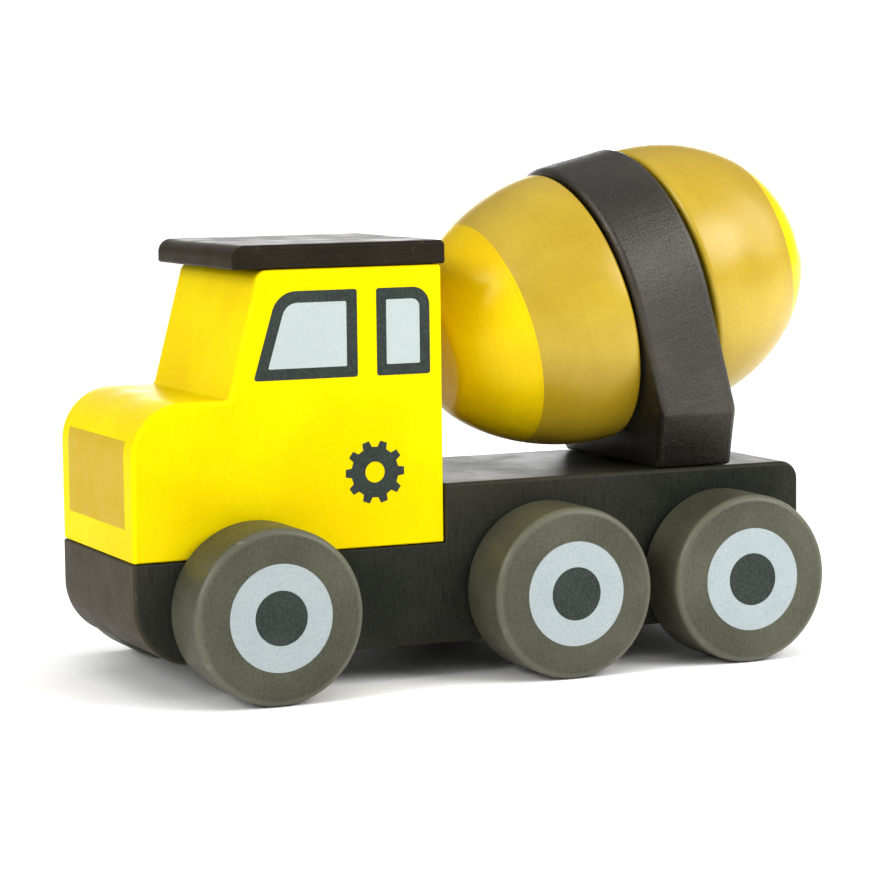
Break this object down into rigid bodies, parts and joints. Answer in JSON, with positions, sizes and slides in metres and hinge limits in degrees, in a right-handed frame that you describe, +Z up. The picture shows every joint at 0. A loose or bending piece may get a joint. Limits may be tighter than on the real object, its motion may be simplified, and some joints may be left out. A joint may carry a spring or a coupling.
{
  "type": "toy cement mixer",
  "caption": "Painted wooden toy cement mixer truck with a solid cab, a slab roof, a leaning arched support and a turned two-part drum that spins.",
  "frame": {"origin": "on the floor under the middle of the truck's length and width", "axes": "+X forwards, towards the bonnet; +Y to the truck's own left; +Z up"},
  "size_m": [0.1649, 0.0806, 0.1106],
  "materials": {
    "dark_paint": "satin brown-black paint over fine wood grain",
    "yellow_paint": "smooth satin lemon-yellow paint",
    "amber_paint": "gloss amber paint with faint turning lines",
    "olive_paint": "matt olive-grey paint",
    "bare_wood": "unpainted beech dowel"
  },
  "bodies": {
    "chassis": {"chassis": "dark_paint", "cab": "yellow_paint", "roof": "dark_paint", "drum_support": "dark_paint", "cab_dowel_front": "bare_wood", "cab_dowel_rear": "bare_wood", "support_dowel_left": "bare_wood", "support_dowel_right": "bare_wood"},
    "drum": {"drum_front": "amber_paint", "drum_rear": "amber_paint", "drum_spindle": "bare_wood"},
    "front_axle": {"axle_front": "bare_wood", "wheel_front_left": "olive_paint", "wheel_front_right": "olive_paint"},
    "middle_axle": {"axle_middle": "bare_wood", "wheel_middle_left": "olive_paint", "wheel_middle_right": "olive_paint"},
    "rear_axle": {"axle_rear": "bare_wood", "wheel_rear_left": "olive_paint", "wheel_rear_right": "olive_paint"}
  },
  "joints": [
    {"name": "drum_spin", "type": "hinge", "parent": "chassis", "child": "drum", "pos_m": [-0.03745, 0, 0.0778], "axis": [-0.9681, 0, 0.2504], "continuous": true},
    {"name": "front_axle_spin", "type": "hinge", "parent": "chassis", "child": "front_axle", "pos_m": [0.0574, 0, 0.0181], "axis": [0, 1, 0], "continuous": true},
    {"name": "middle_axle_spin", "type": "hinge", "parent": "chassis", "child": "middle_axle", "pos_m": [-0.0085, 0, 0.0181], "axis": [0, 1, 0], "continuous": true},
    {"name": "rear_axle_spin", "type": "hinge", "parent": "chassis", "child": "rear_axle", "pos_m": [-0.0506, 0, 0.0181], "axis": [0, 1, 0], "continuous": true}
  ]
}
